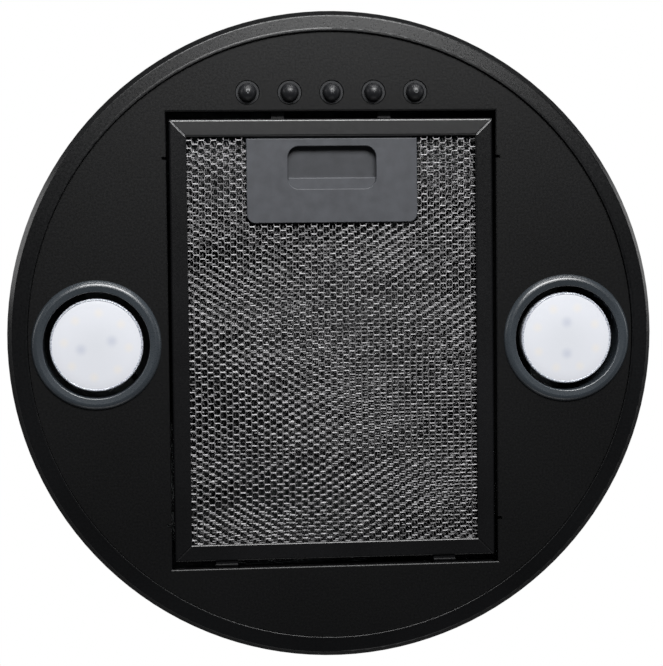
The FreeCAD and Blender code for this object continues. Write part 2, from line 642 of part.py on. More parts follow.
def lamp_bracket(sx):
    """Strap over the lamp that carries its holder."""
    x, leg_y = sx * LAMP_X, 36.0
    parts = [box(x - 8, x + 8, LAMP_Y - leg_y, LAMP_Y + leg_y, 60, 61.5)]
    for sy in (-1, 1):
        leg = sorted((LAMP_Y + sy * leg_y, LAMP_Y + sy * (leg_y - 1.5)))
        foot = sorted((LAMP_Y + sy * leg_y, LAMP_Y + sy * (leg_y + 9)))
        parts.append(box(x - 8, x + 8, *leg, 1.1, 61.5))
        parts.append(box(x - 8, x + 8, *foot, 1.1, 2.6))
    return join(parts)


# ---- grease filter -----------------------------------------------------------------------
def frame_section(length):
    """The filter frame's channel, open towards +v, extruded along X; v is Y here."""
    w, t, z0, z1 = FRAME_W, FRAME_T, FILTER_Z0, FILTER_Z1
    r = 1.4
    mid = r * (1 - math.sqrt(0.5))
    wire = outline(
        (r, z0),
        [
            (w - 1.2, z0), (w - 0.35, z0 + 0.35, w, z0 + 1.2), (w - 0.5, z0 + 1.2),
            (w - 1.3, z0 + t), (t, z0 + t), (t, z1 - t),
            (w, z1 - t), (w, z1), (0, z1), (0, z0 + r), (mid, z0 + mid, r, z0),
        ],
        lambda v, z: V(0, v, z),
    )
    return Part.Face(wire).extrude(V(length, 0, 0))


def frame_bar(length):
    """A frame bar along X with mitred ends, its outer edge on y = 0."""
    gap, w = 0.08, FRAME_W
    bar = frame_section(length)
    half, depth, z0 = 0.55, 0.2, FILTER_Z0
    for x, turn in ((gap, 1), (length - gap, -1)):
        points = [V(x - half, -5, z0 - 0.1), V(x - half, -5, z0), V(x, -5, z0 + depth),
                  V(x + half, -5, z0), V(x + half, -5, z0 - 0.1)]
        groove = Part.Face(Part.makePolygon(points + points[:1])).extrude(V(0, 20, 0))
        groove.rotate(V(x, 0, 0), Z_AXIS, -45 * turn)
        bar = bar.cut(groove)
    mitre = prism([(gap, -1e-3), (length - gap, -1e-3), (length - w - gap - 1, w + 1),
                   (w + gap + 1, w + 1)], FILTER_Z0 - 1, FILTER_Z1 + 1)
    return bar.common(mitre)


def filter_frame(name):
    width, depth = 2 * FILTER_X, FILTER_REAR - FILTER_FRONT
    if name in ("front", "rear"):
        bar = frame_bar(width).translated(V(-FILTER_X, FILTER_FRONT, 0))
        if name == "rear":
            return bar.mirror(V(0, (FILTER_FRONT + FILTER_REAR) / 2, 0), Y_AXIS)
        return cut_all(bar, [box(s * TONGUE_X - 4, s * TONGUE_X + 4, FILTER_FRONT - 1,
                                 FILTER_FRONT + 2, 5.0, 8.2) for s in (-1, 1)])
    bar = frame_bar(depth)
    bar.rotate(V(0, 0, 0), Z_AXIS, 90)
    bar = bar.mirror(V(0, 0, 0), X_AXIS)
    bar = bar.translated(V(-FILTER_X, FILTER_FRONT, 0))
    return bar if name == "left" else bar.mirror(V(0, 0, 0), X_AXIS)


def filter_mesh(z0, z1, side, rear):
    """One flat layer of the metal mesh, cut out around the latch housing."""
    inset = 1.2
    layer = box(-FILTER_X + inset, FILTER_X - inset, FILTER_FRONT + inset, FILTER_REAR - inset, z0, z1)
    return layer.cut(box(-side, side, FILTER_FRONT - 1, rear, z0 - 1, z1 + 1))


HOUSING_Z1 = 9.0
CAVITY_X = 35.5
SLIDER_Z0, SLIDER_Z1 = 6.4, 7.7


def handle_housing():
    z0, z1 = HANDLE_Z, HANDLE_Z + HANDLE_T
    plate = rounded_slab(-HANDLE_X, HANDLE_X, HANDLE_FRONT, HANDLE_REAR, z0, z1, 4.6, corners=2)
    body = box(-HANDLE_X + 3, HANDLE_X - 3, FILTER_FRONT + 1.1, HANDLE_REAR - 1.6, z1 - 0.2, HOUSING_Z1)
    cavity = box(-CAVITY_X, CAVITY_X, HANDLE_FRONT + 1.6, SPRING_REAR, z1, SLIDER_Z1 + 0.25)
    step = box(-HANDLE_X, HANDLE_X, FILTER_FRONT, HANDLE_FRONT, z0, 4.9)
    recess = rounded_slab(-RECESS_X, RECESS_X, RECESS_FRONT, RECESS_REAR, z0 - 1, z1 + 1, 6.2)
    plate = plate.cut(recess)
    plate = plate.makeFillet(0.4, [e for e in plate.Edges if e.BoundBox.ZMax < z0 + 1e-6])
    arms = [box(s * TONGUE_X - 3.9, s * TONGUE_X + 3.9, FILTER_FRONT, HANDLE_FRONT + 3,
                5.1, SLIDER_Z1 + 0.25) for s in (-1, 1)]
    return cut_all(join([plate, body.cut(recess)]), [cavity, step] + arms)


def latch_slider():
    """Sprung slider: floor of the finger recess, ledge to pull on, and two tongues."""
    front, rear = RECESS_FRONT - 1.2, -73.0
    ledge = prism_x(-23.8, 23.8, [(LEDGE_Y, SLIDER_Z0 + 0.5), (LEDGE_Y, 3.9), (LEDGE_Y + 0.6, 3.45),
                                  (rear, 3.3), (rear, SLIDER_Z0 + 0.5)])
    parts, notches = [box(-34, 34, front, rear, SLIDER_Z0, SLIDER_Z1), ledge], []
    for s in (-1, 1):
        x = s * TONGUE_X
        parts.append(prism_x(x - TONGUE_W / 2, x + TONGUE_W / 2, [
            (TONGUE_TIP, 5.5), (TONGUE_TIP + 0.2, 5.4), (front + 2, 5.4), (front + 2, SLIDER_Z1),
            (TONGUE_TIP + 2.2, SLIDER_Z1), (TONGUE_TIP, 6.2)]))
        parts.append(box(x - 2.8, x + 2.8, SPRING_FRONT - 2, SPRING_FRONT, 3.5, SLIDER_Z1))
        notches.append(box(x - 2.8, x + 2.8, SPRING_FRONT, rear + 1, SLIDER_Z0 - 1, SLIDER_Z1 + 1))
    return cut_all(join(parts), notches)


def prism_x(x0, x1, points):
    """A prism along X on a polygon of (y, z) points."""
    wire = Part.makePolygon([V(x0, y, z) for y, z in points] + [V(x0, *points[0])])
    return Part.Face(wire).extrude(V(x1 - x0, 0, 0))


def latch_springs():
    """Two coil springs that push the slider's tongues out towards the front."""
    y0, y1, coil_r, wire_r, turns = SPRING_FRONT + 0.6, SPRING_REAR - 0.6, 1.6, 0.5, 7
    helix = Part.makeHelix((y1 - y0) / turns, y1 - y0, coil_r)
    helix.rotate(V(0, 0, 0), X_AXIS, -90)
    first = helix.Edges[0]
    start = first.valueAt(first.FirstParameter)
    circle = Part.Wire(Part.makeCircle(wire_r, start, first.tangentAt(first.FirstParameter)))
    spring = Part.Wire(helix.Edges).makePipeShell([circle], True, True)
    return Part.makeCompound([spring.translated(V(s * TONGUE_X, y0, SPRING_Z)) for s in (-1, 1)])


def hinge_lugs():
    """Tabs behind the filter; the bead under each is round about the filter's hinge axis."""
    lugs = []
    for s in (-1, 1):
        y0 = FILTER_REAR + 0.05
        lugs.append(join([
            box(s * LUG_X - LUG_W / 2, s * LUG_X + LUG_W / 2, y0, y0 + 0.8, 1.2, 8.0),
            box(s * LUG_X - LUG_W / 2, s * LUG_X + LUG_W / 2, y0, 129.6, 1.2, 2.6),
            rod(0.8, (s * LUG_X - LUG_W / 2, FILTER_AXIS_Y, FILTER_AXIS_Z), X_AXIS, LUG_W),
        ]))
    return Part.makeCompound(lugs)


# ---- write every piece -------------------------------------------------------------------
def main():
    os.makedirs("parts", exist_ok=True)
    for old in os.listdir("parts"):
        os.remove(os.path.join("parts", old))

    write("ceiling_plate", ceiling_plate(), lowered=False)
    write("upper_sleeve", upper_sleeve(), lowered=False)
    write("sleeve_screws", sleeve_screws(), lowered=False)
    for name, (sx, sy) in CORNERS.items():
        write(f"upper_rail_{name}", mirrored(upper_rail(), sx, sy), lowered=False)
        write(f"lower_rail_{name}", mirrored(lower_rail(), sx, sy))
    write("rail_bolts", rail_bolts())
    write("chassis_deck", chassis_deck())

    write("body_shell", body_shell())
    write("rim_ring", rim_ring())
    write("bottom_panel", bottom_panel())
    write("panel_screws", panel_screws())

    write("scroll_front", scroll_half(-1))
    write("scroll_rear", scroll_half(1))
    write("blower_screws", blower_screws())
    write("fan_wheel", fan_wheel())
    write("motor_shaft", motor_shaft())
    write("motor_body", motor_body())
    write("motor_bracket", motor_bracket())
    write("outlet_collar", outlet_collar())
    write("damper_flap_front", damper_flap(-1))
    write("damper_flap_rear", damper_flap(1))

    write("electronics_box", electronics_box())
    write("electronics_lid", electronics_lid())
    write("cord_gland", cord_gland())
    write("capacitor", capacitor())
    write("switch_housing", switch_housing())
    for index in range(-2, 3):
        write(f"button_{index + 3}", button(index))

    for name, sx in SIDES.items():
        write(f"lamp_bezel_{name}", bezel(sx))
        write(f"lamp_{name}", lamp(sx))
        write(f"lampholder_{name}", lampholder(sx))
        write(f"lamp_bracket_{name}", lamp_bracket(sx))
        write(f"lamp_lead_{name}", lead([(sx * x, y, z) for x, y, z in LAMP_LEAD], LEAD_R))
    write("motor_lead", lead(MOTOR_LEAD, LEAD_R))

    for name in ("front", "rear", "left", "right"):
        write(f"filter_frame_{name}", filter_frame(name))
    write("filter_mesh_face", filter_mesh(2.4, 3.6, HANDLE_X + 0.3, HANDLE_REAR + 0.3))
    write("filter_mesh_core", filter_mesh(3.7, 7.4, HANDLE_X - 2.6, HANDLE_REAR - 1.2))
    write("filter_mesh_back", filter_mesh(7.5, 9.1, HANDLE_X - 2.6, HANDLE_REAR - 1.2))
    write("handle_housing", handle_housing())
    write("hinge_lugs", hinge_lugs())
    write("latch_slider", latch_slider())
    write("latch_springs", latch_springs())

    for name, count, volume in written:
        print(f"{name:24s} {count:3d} {volume:12.1f}")
    print(len(written), "nodes")


main()
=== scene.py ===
import json
import math
import random

import bpy
from mathutils import Matrix, Vector


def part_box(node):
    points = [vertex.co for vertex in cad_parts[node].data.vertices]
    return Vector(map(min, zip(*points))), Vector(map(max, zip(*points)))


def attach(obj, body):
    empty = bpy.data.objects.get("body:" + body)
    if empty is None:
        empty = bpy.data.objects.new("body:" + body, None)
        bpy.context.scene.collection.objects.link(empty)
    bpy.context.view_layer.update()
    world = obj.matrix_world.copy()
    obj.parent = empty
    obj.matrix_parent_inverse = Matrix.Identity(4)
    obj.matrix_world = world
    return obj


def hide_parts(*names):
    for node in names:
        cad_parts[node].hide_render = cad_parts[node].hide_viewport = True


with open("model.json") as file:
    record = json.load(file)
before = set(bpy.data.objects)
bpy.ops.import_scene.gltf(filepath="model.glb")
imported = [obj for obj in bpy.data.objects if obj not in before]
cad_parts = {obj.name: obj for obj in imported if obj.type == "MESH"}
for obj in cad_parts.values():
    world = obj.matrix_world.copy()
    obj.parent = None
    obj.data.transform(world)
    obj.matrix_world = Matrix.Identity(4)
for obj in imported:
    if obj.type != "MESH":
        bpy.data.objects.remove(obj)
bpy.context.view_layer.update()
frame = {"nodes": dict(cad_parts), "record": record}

nodes = frame["nodes"]


# ---- where things are, from the frame ----------------------------------------------------
def mid(node):
    lo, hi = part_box(node)
    return (lo + hi) / 2


PANEL_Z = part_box("bottom_panel")[0].z
CENTRE = Vector((0.0, 0.0, PANEL_Z))


# ---- materials ---------------------------------------------------------------------------
def new_material(name):
    m = bpy.data.materials.new(name)
    m.use_nodes = True
    tree = m.node_tree
    shader = tree.nodes["Principled BSDF"]
    return m, tree, shader


def coords(tree, scale=(1, 1, 1)):
    source = tree.nodes.new("ShaderNodeTexCoord")
    mapping = tree.nodes.new("ShaderNodeMapping")
    mapping.inputs["Scale"].default_value = scale
    tree.links.new(source.outputs["Object"], mapping.inputs["Vector"])
    return mapping.outputs["Vector"]


def noise(tree, vector, scale, detail=3.0, rough=0.5):
    n = tree.nodes.new("ShaderNodeTexNoise")
    n.inputs["Scale"].default_value = scale
    n.inputs["Detail"].default_value = detail
    n.inputs["Roughness"].default_value = rough
    tree.links.new(vector, n.inputs["Vector"])
    return n.outputs["Fac"]


def ramp(tree, fac, stops, kind="LINEAR"):
    r = tree.nodes.new("ShaderNodeValToRGB")
    r.color_ramp.interpolation = kind
    while len(r.color_ramp.elements) < len(stops):
        r.color_ramp.elements.new(0.5)
    for element, (place, colour) in zip(r.color_ramp.elements, stops):
        element.position = place
        element.color = (*colour, 1) if len(colour) == 3 else colour
    tree.links.new(fac, r.inputs["Fac"])
    return r.outputs["Color"]


def remap(tree, fac, low, high, from_low=0.3, from_high=0.7):
    m = tree.nodes.new("ShaderNodeMapRange")
    m.inputs["From Min"].default_value = from_low
    m.inputs["From Max"].default_value = from_high
    m.inputs["To Min"].default_value = low
    m.inputs["To Max"].default_value = high
    tree.links.new(fac, m.inputs["Value"])
    return m.outputs["Result"]


def bump(tree, shader, height, strength, distance):
    b = tree.nodes.new("ShaderNodeBump")
    b.inputs["Strength"].default_value = strength
    b.inputs["Distance"].default_value = distance
    tree.links.new(height, b.inputs["Height"])
    tree.links.new(b.outputs["Normal"], shader.inputs["Normal"])


def surface(name, colour, rough, metallic=0.0, specular=0.5, vary=0.25, rough_vary=0.08,
            grain=900.0, grain_depth=0.00002, stretch=(1, 1, 1), cloud=14.0):
    """Tinted noise in colour and roughness, and a fine grain in the normal."""
    m, tree, shader = new_material(name)
    big = noise(tree, coords(tree), cloud, 4.0)
    fine = noise(tree, coords(tree, stretch), grain, 2.0)
    dark = tuple(c * (1 - vary) for c in colour)
    light = tuple(min(1.0, c * (1 + vary)) for c in colour)
    tree.links.new(ramp(tree, big, [(0.3, dark), (0.7, light)]), shader.inputs["Base Color"])
    roughness = remap(tree, fine, rough - rough_vary, rough + rough_vary)
    tree.links.new(roughness, shader.inputs["Roughness"])
    shader.inputs["Metallic"].default_value = metallic
    shader.inputs["Specular IOR Level"].default_value = specular
    bump(tree, shader, fine, 0.5, grain_depth)
    return m


MATERIALS = {
    "shell_paint": surface("satin_black_shell", (0.006, 0.0063, 0.0070), 0.42,
                           specular=0.35, grain=700, grain_depth=0.00003),
    "panel_paint": surface("satin_black_panel", (0.0026, 0.0027, 0.0029), 0.36, rough_vary=0.04,
                           specular=0.38, grain=900, grain_depth=0.00003),
    "ring_paint": surface("satin_black_ring", (0.0034, 0.0036, 0.0040), 0.30, rough_vary=0.04,
                          specular=0.42, grain=800, grain_depth=0.00003),
    "galvanised": surface("galvanised_steel", (0.42, 0.44, 0.45), 0.42, 0.9,
                          vary=0.3, rough_vary=0.12, grain=260, cloud=60),
    "fastener": surface("black_oxide", (0.05, 0.05, 0.055), 0.4, 0.8, grain=1500),
    "zinc_fastener": surface("zinc", (0.5, 0.51, 0.53), 0.32, 0.95, grain=1500),
    "blower_plastic": surface("blower_moulding", (0.022, 0.023, 0.024), 0.5, grain=1200),
    "wheel_plastic": surface("wheel_moulding", (0.25, 0.26, 0.27), 0.5, grain=1200),
    "motor_steel": surface("motor_can", (0.30, 0.31, 0.32), 0.4, 0.9,
                           grain=500, stretch=(1, 0.1, 1)),
    "shaft_steel": surface("ground_shaft", (0.6, 0.6, 0.61), 0.22, 1.0,
                           grain=1500, stretch=(1, 8, 1)),
    "duct_plastic": surface("duct_moulding", (0.03, 0.03, 0.031), 0.5, grain=1200),
    "box_plastic": surface("box_moulding", (0.5, 0.51, 0.51), 0.5, grain=1200, vary=0.05),
    "gland_plastic": surface("gland_moulding", (0.035, 0.035, 0.036), 0.45, grain=1500),
    "capacitor_can": surface("capacitor_can", (0.7, 0.7, 0.69), 0.25, grain=1500, vary=0.04),
    "switch_plastic": surface("switch_moulding", (0.012, 0.013, 0.015), 0.42, grain=2000),
    "button_plastic": surface("button_moulding", (0.008, 0.0085, 0.010), 0.40,
                              grain=3000, grain_depth=0.000008),
    "bezel_paint": surface("bezel_paint", (0.030, 0.037, 0.044), 0.31,
                           specular=0.8, grain=1500, grain_depth=0.00001),
    "lamp_lens": surface("lamp_body", (0.7, 0.72, 0.75), 0.3, grain=1500, vary=0.04),
    "holder_ceramic": surface("holder_ceramic", (0.75, 0.74, 0.70), 0.35, grain=600, vary=0.05),
    "lead_sleeve": surface("lead_sleeve", (0.03, 0.03, 0.032), 0.5, grain=1500),
    "filter_frame": surface("filter_frame_coat", (0.0040, 0.0041, 0.0046), 0.27, rough_vary=0.04,
                            specular=0.62, grain=1600, grain_depth=0.00006, vary=0.35),
    "filter_mesh": surface("expanded_aluminium", (0.094, 0.093, 0.095), 0.42, 1.0,
                           grain=2500, vary=0.35, cloud=420),
    "latch_plastic": surface("latch_moulding", (0.055, 0.058, 0.066), 0.46,
                             grain=2600, grain_depth=0.00005, vary=0.14, cloud=160),
    "spring_steel": surface("spring_steel", (0.55, 0.55, 0.56), 0.25, 1.0, grain=1500),
}
slot_of = {s["node"]: s["material_slot"] for s in frame["record"]["subparts"]}
for name, obj in nodes.items():
    obj.data.materials.clear()
    obj.data.materials.append(MATERIALS[slot_of[name]])


def painted_shade_ahead(name, y, keep):
    """The node's material, with keep times its colour where the node lies ahead of y: painted shade.
    """
    half_fade = 0.001
    m = nodes[name].data.materials[0].copy()
    m.name = name + "_painted_shade_end"
    tree = m.node_tree
    shader = tree.nodes["Principled BSDF"]
    limit = (nodes[name].matrix_world.inverted() @ Vector((0, y, 0))).y
    split = tree.nodes.new("ShaderNodeSeparateXYZ")
    tree.links.new(tree.nodes.new("ShaderNodeTexCoord").outputs["Object"], split.inputs["Vector"])
    fade = remap(tree, split.outputs["Y"], keep, 1.0, limit - half_fade, limit + half_fade)
    mix = tree.nodes.new("ShaderNodeMix")
    mix.data_type = "RGBA"
    mix.blend_type = "MULTIPLY"
    mix.inputs["Factor"].default_value = 1.0
    colour = shader.inputs["Base Color"].links[0].from_socket
    tree.links.new(colour, mix.inputs["A"])
    tree.links.new(fade, mix.inputs["B"])
    tree.links.new(mix.outputs["Result"], shader.inputs["Base Color"])
    nodes[name].data.materials[0] = m


# Painted shade: the slider's floor ahead of the ledge and its tongues ahead of the frame are
# darkened where shadow falls on them.
LEDGE_EDGE_Y, TONGUE_Y = -0.0867, -0.112
painted_shade_ahead("latch_slider", LEDGE_EDGE_Y, 0.72)
painted_shade_ahead("latch_slider", TONGUE_Y, 0.12)
nodes["hinge_lugs"].data.materials[0] = surface(
    "hinge_lug_coat", (0.0040, 0.0041, 0.0046), 0.40, specular=0.12, grain=1600, vary=0.35)
# The front bar takes a lighter, shinier copy of the frame coat: painted light on the bar that faces
# the lights.
nodes["filter_frame_front"].data.materials[0] = surface(
    "filter_frame_front_painted_light_coat", (0.0046, 0.0047, 0.0052), 0.345, rough_vary=0.04, specular=0.95,
    grain=1600, grain_depth=0.00006, vary=0.35)


def piece(name, verts, faces, material, body, smooth=False, replaces=(), place=(0, 0, 0)):
    """A new mesh object that rides on a body and takes the material it is given."""
    mesh = bpy.data.meshes.new(name)
    mesh.from_pydata(verts, [], faces)
    mesh.update()
    if smooth:
        mesh.polygons.foreach_set("use_smooth", [True] * len(mesh.polygons))
    obj = bpy.data.objects.new(name, mesh)
    obj.location = place
    bpy.context.scene.collection.objects.link(obj)
    mesh.materials.append(material)
    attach(obj, body)
    if replaces:
        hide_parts(*replaces)
    return obj


# ---- expanded metal of the filter --------------------------------------------------------
LONG_WAY, SHORT_WAY = 0.00675, 0.00427     # one diamond of the mesh, across and along
BOND = 0.0029                              # length of the flat bond between two diamonds
BOND_INSET = 0.00013                       # from the middle of the slit to the strand
BOND_RISE = 0.00016                        # how far the two rows of bonds stand off the middle
BOND_WIDTH, LEG_WIDTH, STRAND_THICK = 0.00052, 0.00036, 0.00026
BOND_TILT, LEG_TILT = -0.42, -0.20
MESH_MARGIN = 0.0072                       # part of the mesh that the frame holds
mesh_lo, mesh_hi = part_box("filter_mesh_face")
handle_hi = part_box("handle_housing")[1]


def strand(verts, faces, a, b, width, thick, tilt, sides):
    """A straight run from a to b, tilted about its length: a flat strip, or a bar of 4 sides."""
    along = (b - a).normalized()
    across = along.cross(Vector((0, 0, 1))).normalized()
    spin = Matrix.Rotation(tilt, 3, along)
    u, v = spin @ across * (width / 2), spin @ Vector((0, 0, 1)) * (thick / 2)
    n = len(verts)
    if sides == 1:
        verts.extend([a - u, a + u, b + u, b - u])
        faces.append((n, n + 1, n + 2, n + 3))
        return
    for end in (a, b):
        verts.extend([end - u - v, end + u - v, end + u + v, end - u + v])
    faces.extend([(n, n + 1, n + 5, n + 4), (n + 1, n + 2, n + 6, n + 5),
                  (n + 2, n + 3, n + 7, n + 6), (n + 3, n, n + 4, n + 7)])


def expanded_layer(z, turn, pitch, shift, sides, cut, seed, spread):
    """Rows of zigzag strands that meet at bonds, as slit and stretched sheet does.

    pitch stretches the rows, cut is half the width left out round the handle, and spread is how
    much the strands' tilts differ.
    """
    rng = random.Random(seed)
    verts, faces = [], []
    lw, sw = LONG_WAY, SHORT_WAY * pitch
    x0, x1 = mesh_lo.x + MESH_MARGIN, mesh_hi.x - MESH_MARGIN
    y0, y1 = mesh_lo.y + MESH_MARGIN, mesh_hi.y - MESH_MARGIN
    middle = Vector(((x0 + x1) / 2, (y0 + y1) / 2, 0))
    moved = Vector((*shift, 0))
    spin = Matrix.Rotation(turn, 3, "Z")
    span_x, span_y = (x1 - x0) / 2 + 0.01, (y1 - y0) / 2 + 0.01
    rows, columns = int(span_y / sw) * 2 + 2, int(span_x / lw) + 1
    for row in range(-rows // 2 - 1, rows // 2 + 2):
        for k in (0, 1):
            index = 2 * row + k
            low, high = index * sw / 2, (index + 1) * sw / 2
            start = (index % 2) * lw / 2
            path = []
            for column in range(-columns, columns + 1):
                x = column * lw + start
                jog = rng.uniform(-1, 1) * 0.00006
                path += [Vector((x - BOND / 2, low + BOND_INSET + jog, BOND_RISE)),
                         Vector((x + BOND / 2, low + BOND_INSET + jog, BOND_RISE)),
                         Vector((x + (lw - BOND) / 2, high - BOND_INSET + jog, -BOND_RISE)),
                         Vector((x + (lw + BOND) / 2, high - BOND_INSET + jog, -BOND_RISE))]
            place = [spin @ (p + moved) + middle + Vector((0, 0, z)) for p in path]
            for a, b in zip(place, place[1:]):
                c = (a + b) / 2
                if not (x0 < c.x < x1 and y0 < c.y < y1):
                    continue
                if abs(c.x) < cut and c.y < handle_hi.y + (cut - handle_hi.x):
                    continue
                flat = abs(b.y - a.y) < 0.0002
                width = BOND_WIDTH if flat else LEG_WIDTH
                tilt = (BOND_TILT if flat else LEG_TILT) + rng.uniform(-spread, spread)
                strand(verts, faces, a, b, width, STRAND_THICK, tilt, sides)
    return verts, faces


# Sheets under the first in each node take a darker copy of the aluminium: painted shade for the
# deeper sheets.
deep_mesh_painted_shade = surface("expanded_aluminium_deep_painted_shade", (0.046, 0.046, 0.047), 0.36, 1.0,
                    grain=2500, vary=0.35, cloud=420)
# For each node, the height of its lowest sheet over the filter's face and how much wider its
# hole for the handle is, then for each sheet: height above the lowest, turn, pitch, shift, sides.
LAYERS = {
    "filter_mesh_face": (0.0007, 0.0006, [(0.0, 0.0, 1.0, (0, 0), 4),
                                          (0.0011, 0.004, 1.11, (0.0017, 0.0010), 4)]),
    "filter_mesh_core": (0.0030, -0.0024, [(0.0, -0.02, 1.02, (0.0030, 0.0004), 1),
                                           (0.0013, 1.5708, 1.0, (0.0, 0.0), 1)]),
    "filter_mesh_back": (0.0058, -0.0024, [(0.0, 0.015, 1.0, (0.0012, 0.0016), 1)]),
}
FIRST_SPREAD, DEEP_SPREAD = 0.15, 0.45
for name, (z, wider, sheets) in LAYERS.items():
    verts, faces = [], []
    for i, (dz, turn, pitch, shift, sides) in enumerate(sheets):
        v, f = expanded_layer(mesh_lo.z + z + dz, turn, pitch, shift, sides, handle_hi.x + wider,
                              len(name) + i, DEEP_SPREAD if i else FIRST_SPREAD)
        faces += [tuple(n + len(verts) for n in face) for face in f]
        verts += v
        if i == 0:
            first_faces = len(faces)
    strands = piece(name + "_strands", verts, faces, MATERIALS["filter_mesh"], "filter",
                    replaces=[name])
    strands.data.materials.append(deep_mesh_painted_shade)
    strands.data.polygons.foreach_set(
        "material_index", [int(i >= first_faces) for i in range(len(faces))])


# ---- painted highlight along the frame's front mitres ------------------------------------
def mitre_painted_highlights():
    """A light metal strip along each of the filter frame's two front mitres: a painted highlight."""
    verts, faces = [], []
    lo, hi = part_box("filter_frame_front")
    left_lo, left_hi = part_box("filter_frame_left")
    width = left_hi.x - left_lo.x
    z = lo.z - 0.00002
    along = (0.13, 0.3, 0.5, 0.7, 0.88)
    for side, edge_x in ((-1, lo.x), (1, hi.x)):
        points = [Vector((edge_x - side * t * width, lo.y + t * width, z)) for t in along]
        for a, b in zip(points, points[1:]):
            strand(verts, faces, a, b, 0.00036, 0.00010, 0.0, 4)
    highlight_paint = surface("mitre_painted_highlight", (0.30, 0.30, 0.31), 0.40, 1.0, grain=2500, vary=0.3, cloud=500)
    piece("filter_mitre_painted_highlights", verts, faces, highlight_paint, "filter")


mitre_painted_highlights()


# ---- lamp lenses -------------------------------------------------------------------------
def lathe(profile, steps, wobble=None):
    """Verts and faces of an (r, z) profile revolved about Z.

    wobble(r, angle) is the share of r that a point moves out.
    """
    verts, faces = [], []
    for r, z in profile:
        for k in range(steps):
            a = 2 * math.pi * k / steps
            s = 1 + (wobble(r, a) if wobble else 0)
            verts.append((r * s * math.cos(a), r * s * math.sin(a), z))
    for i in range(len(profile) - 1):
        for k in range(steps):
            n = (k + 1) % steps
            near, far = i * steps, (i + 1) * steps
            faces.append((near + k, near + n, far + n, far + k))
    return verts, faces


def lens_material(name, turn):
    """Milky diffuser: faint cool spots of the screws and warm spots of the diodes behind it."""
    m, tree, shader = new_material(name)
    source = tree.nodes.new("ShaderNodeTexCoord").outputs["Object"]

    def spots(places, radius):
        total = None
        for place in places:
            d = tree.nodes.new("ShaderNodeVectorMath")
            d.operation = "DISTANCE"
            tree.links.new(source, d.inputs[0])
            d.inputs[1].default_value = place
            r = tree.nodes.new("ShaderNodeMapRange")
            r.interpolation_type = "SMOOTHSTEP"
            r.inputs["From Min"].default_value = 0.0
            r.inputs["From Max"].default_value = radius
            r.inputs["To Min"].default_value = 1.0
            r.inputs["To Max"].default_value = 0.0
            tree.links.new(d.outputs["Value"], r.inputs["Value"])
            if total is None:
                total = r.outputs["Result"]
            else:
                add = tree.nodes.new("ShaderNodeMath")
                tree.links.new(total, add.inputs[0])
                tree.links.new(r.outputs["Result"], add.inputs[1])
                total = add.outputs["Value"]
        return total

    def blend(fac, a, b, amount):
        mix = tree.nodes.new("ShaderNodeMix")
        mix.data_type = "RGBA"
        scale = tree.nodes.new("ShaderNodeMath")
        scale.operation = "MULTIPLY"
        scale.inputs[1].default_value = amount
        tree.links.new(fac, scale.inputs[0])
        tree.links.new(scale.outputs["Value"], mix.inputs["Factor"])
        if isinstance(a, tuple):
            mix.inputs["A"].default_value = (*a, 1)
        else:
            tree.links.new(a, mix.inputs["A"])
        mix.inputs["B"].default_value = (*b, 1)
        return mix.outputs["Result"]

    def at(r, degrees):
        a = math.radians(degrees) + turn
        return (r * math.cos(a), r * math.sin(a), -0.0012)

    diodes = [at(0.0175, 20 + 45 * k) for k in range(8)]
    screws = [at(0.0086, 0), at(0.0086, 180)]
    colour = blend(noise(tree, source, 90, 3.0), (0.47, 0.48, 0.51), (0.44, 0.455, 0.49), 0.35)
    colour = blend(spots([(0, 0, 0)], 0.021), colour, (0.415, 0.43, 0.455), 0.55)
    colour = blend(spots(diodes, 0.0042), colour, (0.56, 0.49, 0.38), 0.42)
    colour = blend(spots(screws, 0.0046), colour, (0.33, 0.35, 0.41), 0.80)
    tree.links.new(colour, shader.inputs["Base Color"])
    tree.links.new(colour, shader.inputs["Emission Color"])
    shader.inputs["Emission Strength"].default_value = 0.54
    shader.inputs["Roughness"].default_value = 0.38
    shader.inputs["Specular IOR Level"].default_value = 0.4
    bump(tree, shader, noise(tree, source, 700, 2.0), 0.3, 0.00002)
    return m


def clear_rim_material():
    """Clear plastic with fine flutes, drawn opaque: its dark and bright streaks are painted
    reflections.
    """
    m, tree, shader = new_material("clear_rim")
    streak = noise(tree, coords(tree), 1800, 2.0)
    colour = ramp(tree, streak, [(0.35, (0.20, 0.22, 0.27)), (0.65, (0.75, 0.78, 0.84))])
    tree.links.new(colour, shader.inputs["Base Color"])
    shader.inputs["Roughness"].default_value = 0.12
    shader.inputs["Coat Weight"].default_value = 0.6
    bump(tree, shader, streak, 0.6, 0.00005)
    return m


# Profiles as (share of the lamp's radius, height), from the middle of the lens outwards.
LENS_PROFILE = [(0.0, -0.00010), (0.25, -0.00008), (0.5, 0.0001), (0.75, 0.00050),
                (0.90, 0.00080), (0.955, 0.00110)]
RIM_PROFILE = [(0.955, 0.00110), (0.962, 0.00092), (0.98, 0.00088), (0.996, 0.0012),
               (1.003, 0.0021), (1.003, 0.0045)]
LENS_HOLE = 0.0001
FLUTES, FLUTE_DEPTH = 72, 0.006


def lamp_face(side, turn, rim_material):
    """The lens of a lamp, turned as its screws are, and the fluted clear rim round it."""
    lo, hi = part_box("lamp_" + side)
    centre = (lo + hi) / 2
    radius = (hi.x - lo.x) / 2
    place = (centre.x, centre.y, lo.z - 0.00015)

    def flute(r, angle):
        return FLUTE_DEPTH * max(0.0, math.sin(FLUTES * angle)) * (r > radius * 0.98)

    v, f = lathe([(max(LENS_HOLE, radius * share), z) for share, z in LENS_PROFILE], 96)
    piece(f"lamp_{side}_lens", v, f, lens_material("milky_lens_" + side, turn), "lamp_" + side,
          smooth=True, place=place)
    v, f = lathe([(radius * share, z) for share, z in RIM_PROFILE], 4 * FLUTES, flute)
    piece(f"lamp_{side}_rim", v, f, rim_material, "lamp_" + side,
          smooth=True, place=place)


clear_rim = clear_rim_material()
lamp_face("left", math.radians(-15), clear_rim)
lamp_face("right", math.radians(90), clear_rim)


